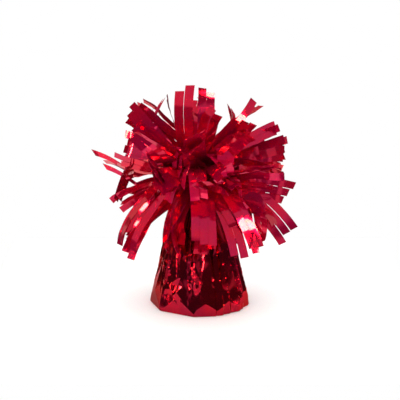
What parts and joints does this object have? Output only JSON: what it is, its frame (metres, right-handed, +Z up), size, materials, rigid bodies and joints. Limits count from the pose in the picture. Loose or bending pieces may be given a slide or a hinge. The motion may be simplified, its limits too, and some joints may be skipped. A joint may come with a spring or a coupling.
{
  "type": "fringed foil balloon weight",
  "caption": "Foil-wrapped bell-shaped weight on a flat base, with a burst of fringed metallic film bound at its neck and a ribbon eye inside the burst.",
  "frame": {"origin": "middle of the flat base, on the axis of the cup and the neck", "axes": "+Z up, out of the neck; -Y is the front, the side with the widest flat of the wrapped base; +X is the part's right as seen from the front"},
  "size_m": [0.1284, 0.1068, 0.139],
  "materials": {
    "wrap_film": "polished",
    "fringe_film": "polished",
    "cup_plastic": "satin",
    "cast_fill": "matte",
    "card": "matte",
    "eye_plastic": "gloss",
    "tie": "satin"
  },
  "bodies": {
    "weight": {"foil_wrap": "wrap_film", "bell_cup": "cup_plastic", "ballast": "cast_fill", "cup_lid": "card", "ribbon_eye": "eye_plastic", "leaf_knot": "fringe_film", "twist_tie": "tie"},
    "crown_end_1": {"crown_fringe_1": "fringe_film"},
    "crown_end_2": {"crown_fringe_2": "fringe_film"},
    "crown_end_3": {"crown_fringe_3": "fringe_film"},
    "crown_end_4": {"crown_fringe_4": "fringe_film"},
    "upper_end_1": {"upper_fringe_1": "fringe_film"},
    "upper_end_2": {"upper_fringe_2": "fringe_film"},
    "upper_end_3": {"upper_fringe_3": "fringe_film"},
    "upper_end_4": {"upper_fringe_4": "fringe_film"},
    "upper_end_5": {"upper_fringe_5": "fringe_film"},
    "upper_end_6": {"upper_fringe_6": "fringe_film"},
    "upper_end_7": {"upper_fringe_7": "fringe_film"},
    "middle_end_1": {"middle_fringe_1": "fringe_film"},
    "middle_end_2": {"middle_fringe_2": "fringe_film"},
    "middle_end_3": {"middle_fringe_3": "fringe_film"},
    "middle_end_4": {"middle_fringe_4": "fringe_film"},
    "middle_end_5": {"middle_fringe_5": "fringe_film"},
    "middle_end_6": {"middle_fringe_6": "fringe_film"},
    "middle_end_7": {"middle_fringe_7": "fringe_film"},
    "lower_end_1": {"lower_fringe_1": "fringe_film"},
    "lower_end_2": {"lower_fringe_2": "fringe_film"},
    "lower_end_3": {"lower_fringe_3": "fringe_film"},
    "lower_end_4": {"lower_fringe_4": "fringe_film"},
    "lower_end_5": {"lower_fringe_5": "fringe_film"},
    "lower_end_6": {"lower_fringe_6": "fringe_film"},
    "lower_end_7": {"lower_fringe_7": "fringe_film"},
    "lower_end_8": {"lower_fringe_8": "fringe_film"},
    "lower_end_9": {"lower_fringe_9": "fringe_film"},
    "lower_end_10": {"lower_fringe_10": "fringe_film"}
  },
  "joints": [
    {"name": "crown_bend_1", "type": "hinge", "parent": "weight", "child": "crown_end_1", "pos_m": [-0.00281, -0.00401, 0.0876], "axis": [-0.8192, 0.5736, 0], "range_deg": [-10, 8], "stiffness_Nm_per_rad": 0.005},
    {"name": "crown_bend_2", "type": "hinge", "parent": "weight", "child": "crown_end_2", "pos_m": [0.0026, -0.00416, 0.0876], "axis": [-0.848, -0.5299, 0], "range_deg": [-10, 8], "stiffness_Nm_per_rad": 0.005},
    {"name": "crown_bend_3", "type": "hinge", "parent": "weight", "child": "crown_end_3", "pos_m": [0.00068, 0.00485, 0.0876], "axis": [0.9903, -0.1392, 0], "range_deg": [-10, 8], "stiffness_Nm_per_rad": 0.005},
    {"name": "crown_bend_4", "type": "hinge", "parent": "weight", "child": "crown_end_4", "pos_m": [-0.00424, 0.00245, 0.0876], "axis": [0.5, 0.866, 0], "range_deg": [-10, 8], "stiffness_Nm_per_rad": 0.005},
    {"name": "upper_bend_1", "type": "hinge", "parent": "weight", "child": "upper_end_1", "pos_m": [-0.00574, -0.00305, 0.0844], "axis": [-0.4695, 0.8829, 0], "range_deg": [-10, 10], "stiffness_Nm_per_rad": 0.005},
    {"name": "upper_bend_2", "type": "hinge", "parent": "weight", "child": "upper_end_2", "pos_m": [-0.0009, -0.00644, 0.0844], "axis": [-0.9903, 0.1392, 0], "range_deg": [-10, 10], "stiffness_Nm_per_rad": 0.005},
    {"name": "upper_bend_3", "type": "hinge", "parent": "weight", "child": "upper_end_3", "pos_m": [0.00435, -0.00483, 0.0844], "axis": [-0.7431, -0.6691, 0], "range_deg": [-10, 10], "stiffness_Nm_per_rad": 0.005},
    {"name": "upper_bend_4", "type": "hinge", "parent": "weight", "child": "upper_end_4", "pos_m": [0.00648, -0.00045, 0.0844], "axis": [-0.0698, -0.9976, 0], "range_deg": [-10, 10], "stiffness_Nm_per_rad": 0.005},
    {"name": "upper_bend_5", "type": "hinge", "parent": "weight", "child": "upper_end_5", "pos_m": [0.00468, 0.00452, 0.0844], "axis": [0.6947, -0.7193, 0], "range_deg": [-10, 10], "stiffness_Nm_per_rad": 0.005},
    {"name": "upper_bend_6", "type": "hinge", "parent": "weight", "child": "upper_end_6", "pos_m": [-0.00068, 0.00646, 0.0844], "axis": [0.9945, 0.1045, 0], "range_deg": [-10, 10], "stiffness_Nm_per_rad": 0.005},
    {"name": "upper_bend_7", "type": "hinge", "parent": "weight", "child": "upper_end_7", "pos_m": [-0.00539, 0.00363, 0.0844], "axis": [0.5592, 0.829, 0], "range_deg": [-10, 10], "stiffness_Nm_per_rad": 0.005},
    {"name": "middle_bend_1", "type": "hinge", "parent": "weight", "child": "middle_end_1", "pos_m": [-0.00646, -0.00068, 0.0812], "axis": [-0.1045, 0.9945, 0], "range_deg": [-10, 10], "stiffness_Nm_per_rad": 0.005},
    {"name": "middle_bend_2", "type": "hinge", "parent": "weight", "child": "middle_end_2", "pos_m": [-0.00363, -0.00539, 0.0812], "axis": [-0.829, 0.5592, 0], "range_deg": [-10, 10], "stiffness_Nm_per_rad": 0.005},
    {"name": "middle_bend_3", "type": "hinge", "parent": "weight", "child": "middle_end_3", "pos_m": [0.00179, -0.00625, 0.0812], "axis": [-0.9613, -0.2756, 0], "range_deg": [-10, 10], "stiffness_Nm_per_rad": 0.005},
    {"name": "middle_bend_4", "type": "hinge", "parent": "weight", "child": "middle_end_4", "pos_m": [0.00584, -0.00285, 0.0812], "axis": [-0.4384, -0.8988, 0], "range_deg": [-10, 10], "stiffness_Nm_per_rad": 0.005},
    {"name": "middle_bend_5", "type": "hinge", "parent": "weight", "child": "middle_end_5", "pos_m": [0.00594, 0.00264, 0.0812], "axis": [0.4067, -0.9136, 0], "range_deg": [-10, 10], "stiffness_Nm_per_rad": 0.005},
    {"name": "middle_bend_6", "type": "hinge", "parent": "weight", "child": "middle_end_6", "pos_m": [0.00068, 0.00646, 0.0812], "axis": [0.9945, -0.1045, 0], "range_deg": [-10, 10], "stiffness_Nm_per_rad": 0.005},
    {"name": "middle_bend_7", "type": "hinge", "parent": "weight", "child": "middle_end_7", "pos_m": [-0.00551, 0.00344, 0.0812], "axis": [0.5299, 0.848, 0], "range_deg": [-10, 10], "stiffness_Nm_per_rad": 0.005},
    {"name": "lower_bend_1", "type": "hinge", "parent": "weight", "child": "lower_end_1", "pos_m": [-0.00603, -0.00243, 0.078], "axis": [-0.3746, 0.9272, 0], "range_deg": [-8, 10], "stiffness_Nm_per_rad": 0.005},
    {"name": "lower_bend_2", "type": "hinge", "parent": "weight", "child": "lower_end_2", "pos_m": [-0.00344, -0.00551, 0.078], "axis": [-0.848, 0.5299, 0], "range_deg": [-8, 10], "stiffness_Nm_per_rad": 0.005},
    {"name": "lower_bend_3", "type": "hinge", "parent": "weight", "child": "lower_end_3", "pos_m": [0.00068, -0.00646, 0.078], "axis": [-0.9945, -0.1045, 0], "range_deg": [-8, 10], "stiffness_Nm_per_rad": 0.005},
    {"name": "lower_bend_4", "type": "hinge", "parent": "weight", "child": "lower_end_4", "pos_m": [0.00452, -0.00468, 0.078], "axis": [-0.7193, -0.6947, 0], "range_deg": [-8, 10], "stiffness_Nm_per_rad": 0.005},
    {"name": "lower_bend_5", "type": "hinge", "parent": "weight", "child": "lower_end_5", "pos_m": [0.00631, -0.00157, 0.078], "axis": [-0.2419, -0.9703, 0], "range_deg": [-8, 10], "stiffness_Nm_per_rad": 0.005},
    {"name": "lower_bend_6", "type": "hinge", "parent": "weight", "child": "lower_end_6", "pos_m": [0.00611, 0.00222, 0.078], "axis": [0.342, -0.9397, 0], "range_deg": [-8, 10], "stiffness_Nm_per_rad": 0.005},
    {"name": "lower_bend_7", "type": "hinge", "parent": "weight", "child": "lower_end_7", "pos_m": [0.00285, 0.00584, 0.078], "axis": [0.8988, -0.4384, 0], "range_deg": [-8, 10], "stiffness_Nm_per_rad": 0.005},
    {"name": "lower_bend_8", "type": "hinge", "parent": "weight", "child": "lower_end_8", "pos_m": [-0.00201, 0.00618, 0.078], "axis": [0.9511, 0.309, 0], "range_deg": [-8, 10], "stiffness_Nm_per_rad": 0.005},
    {"name": "lower_bend_9", "type": "hinge", "parent": "weight", "child": "lower_end_9", "pos_m": [-0.00526, 0.00382, 0.078], "axis": [0.5878, 0.809, 0], "range_deg": [-8, 10], "stiffness_Nm_per_rad": 0.005},
    {"name": "lower_bend_10", "type": "hinge", "parent": "weight", "child": "lower_end_10", "pos_m": [-0.0065, 0.00023, 0.078], "axis": [0.0349, 0.9994, 0], "range_deg": [-8, 10], "stiffness_Nm_per_rad": 0.005}
  ]
}
